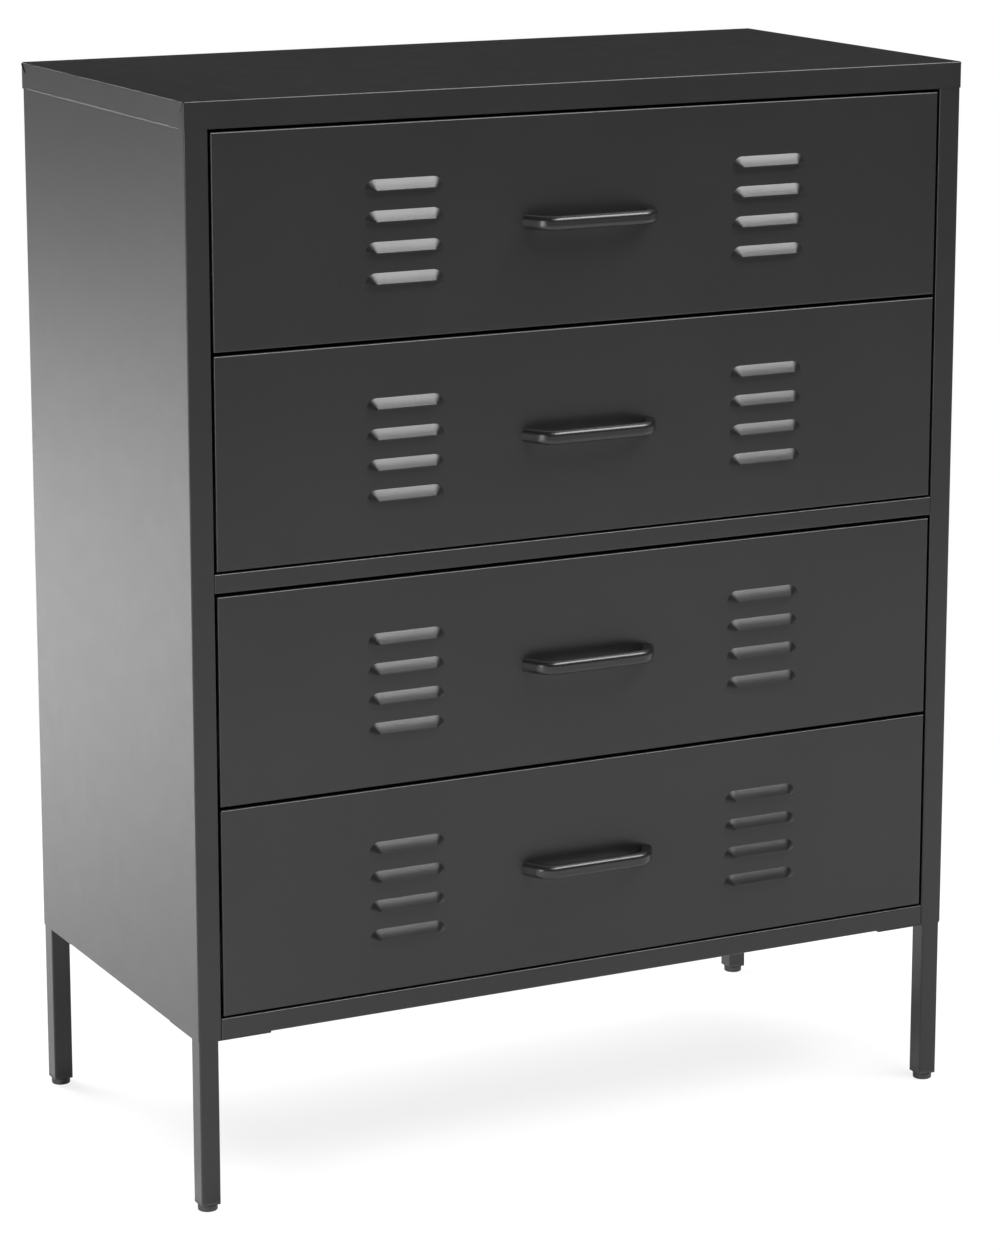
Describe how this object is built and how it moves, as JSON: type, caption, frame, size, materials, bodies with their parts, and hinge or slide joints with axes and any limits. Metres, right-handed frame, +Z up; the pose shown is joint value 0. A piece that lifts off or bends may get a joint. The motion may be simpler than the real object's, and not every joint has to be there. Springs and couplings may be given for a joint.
{
  "type": "chest of drawers",
  "caption": "Floor-standing black steel chest with louvred drawers on telescopic slides, bow handles and square tube legs with levelling feet.",
  "frame": {"origin": "on the floor, at the middle of the box that the closed chest fills with its handles", "axes": "+X to the right and -Y to the front, seen by someone facing the drawers; +Z up"},
  "size_m": [0.8, 0.4278, 1.02],
  "materials": {
    "cabinet_paint": "satin black powder coat",
    "front_paint": "satin black powder coat",
    "tray_paint": "satin black powder coat",
    "leg_paint": "satin black powder coat",
    "handle_paint": "smooth satin black coat on a cast bow",
    "slide_steel": "bright zinc-plated rolled steel",
    "black_fastener": "black-coated steel",
    "plug_plastic": "matt black moulded plastic",
    "foot_plastic": "matt black moulded plastic"
  },
  "bodies": {
    "cabinet": {"top_cover": "cabinet_paint", "left_side_panel": "cabinet_paint", "right_side_panel": "cabinet_paint", "back_panel": "cabinet_paint", "base_panel": "cabinet_paint", "top_rail": "cabinet_paint", "middle_rail": "cabinet_paint", "bottom_rail": "cabinet_paint", "front_left_leg": "leg_paint", "front_right_leg": "leg_paint", "rear_left_leg": "leg_paint", "rear_right_leg": "leg_paint", "leg_plates": "leg_paint", "leg_end_plugs": "plug_plastic", "leg_bolts": "black_fastener", "leg_nuts": "black_fastener", "rail_screws": "black_fastener", "base_screws": "black_fastener", "cover_screws": "black_fastener", "back_panel_screws": "black_fastener", "outer_slide_rivets": "slide_steel", "drawer_1_outer_slides": "slide_steel", "drawer_2_outer_slides": "slide_steel", "drawer_3_outer_slides": "slide_steel", "drawer_4_outer_slides": "slide_steel"},
    "drawer_1": {"drawer_1_front": "front_paint", "drawer_1_tray": "tray_paint", "drawer_1_handle": "handle_paint", "drawer_1_handle_screws": "slide_steel", "drawer_1_inner_slides": "slide_steel", "drawer_1_inner_slide_rivets": "slide_steel"},
    "drawer_1_slide_middles": {"drawer_1_middle_slides": "slide_steel"},
    "drawer_2": {"drawer_2_front": "front_paint", "drawer_2_tray": "tray_paint", "drawer_2_handle": "handle_paint", "drawer_2_handle_screws": "slide_steel", "drawer_2_inner_slides": "slide_steel", "drawer_2_inner_slide_rivets": "slide_steel"},
    "drawer_2_slide_middles": {"drawer_2_middle_slides": "slide_steel"},
    "drawer_3": {"drawer_3_front": "front_paint", "drawer_3_tray": "tray_paint", "drawer_3_handle": "handle_paint", "drawer_3_handle_screws": "slide_steel", "drawer_3_inner_slides": "slide_steel", "drawer_3_inner_slide_rivets": "slide_steel"},
    "drawer_3_slide_middles": {"drawer_3_middle_slides": "slide_steel"},
    "drawer_4": {"drawer_4_front": "front_paint", "drawer_4_tray": "tray_paint", "drawer_4_handle": "handle_paint", "drawer_4_handle_screws": "slide_steel", "drawer_4_inner_slides": "slide_steel", "drawer_4_inner_slide_rivets": "slide_steel"},
    "drawer_4_slide_middles": {"drawer_4_middle_slides": "slide_steel"},
    "front_left_leveller": {"front_left_foot": "foot_plastic"},
    "front_right_leveller": {"front_right_foot": "foot_plastic"},
    "rear_left_leveller": {"rear_left_foot": "foot_plastic"},
    "rear_right_leveller": {"rear_right_foot": "foot_plastic"}
  },
  "joints": [
    {"name": "drawer_1_slide", "type": "slide", "parent": "cabinet", "child": "drawer_1", "axis": [0, -1, 0], "range_m": [0, 0.3]},
    {"name": "drawer_1_middle_slide", "type": "slide", "parent": "cabinet", "child": "drawer_1_slide_middles", "axis": [0, -1, 0], "range_m": [0, 0.15]},
    {"name": "drawer_2_slide", "type": "slide", "parent": "cabinet", "child": "drawer_2", "axis": [0, -1, 0], "range_m": [0, 0.3]},
    {"name": "drawer_2_middle_slide", "type": "slide", "parent": "cabinet", "child": "drawer_2_slide_middles", "axis": [0, -1, 0], "range_m": [0, 0.15]},
    {"name": "drawer_3_slide", "type": "slide", "parent": "cabinet", "child": "drawer_3", "axis": [0, -1, 0], "range_m": [0, 0.3]},
    {"name": "drawer_3_middle_slide", "type": "slide", "parent": "cabinet", "child": "drawer_3_slide_middles", "axis": [0, -1, 0], "range_m": [0, 0.15]},
    {"name": "drawer_4_slide", "type": "slide", "parent": "cabinet", "child": "drawer_4", "axis": [0, -1, 0], "range_m": [0, 0.3]},
    {"name": "drawer_4_middle_slide", "type": "slide", "parent": "cabinet", "child": "drawer_4_slide_middles", "axis": [0, -1, 0], "range_m": [0, 0.15]},
    {"name": "front_left_foot_travel", "type": "slide", "parent": "cabinet", "child": "front_left_leveller", "axis": [0, 0, -1], "range_m": [0, 0.012]},
    {"name": "front_right_foot_travel", "type": "slide", "parent": "cabinet", "child": "front_right_leveller", "axis": [0, 0, -1], "range_m": [0, 0.012]},
    {"name": "rear_left_foot_travel", "type": "slide", "parent": "cabinet", "child": "rear_left_leveller", "axis": [0, 0, -1], "range_m": [0, 0.012]},
    {"name": "rear_right_foot_travel", "type": "slide", "parent": "cabinet", "child": "rear_right_leveller", "axis": [0, 0, -1], "range_m": [0, 0.012]}
  ],
  "couplings": [
    {"joint": "drawer_1_middle_slide", "follows": "drawer_1_slide", "ratio": 0.5},
    {"joint": "drawer_2_middle_slide", "follows": "drawer_2_slide", "ratio": 0.5},
    {"joint": "drawer_3_middle_slide", "follows": "drawer_3_slide", "ratio": 0.5},
    {"joint": "drawer_4_middle_slide", "follows": "drawer_4_slide", "ratio": 0.5}
  ]
}
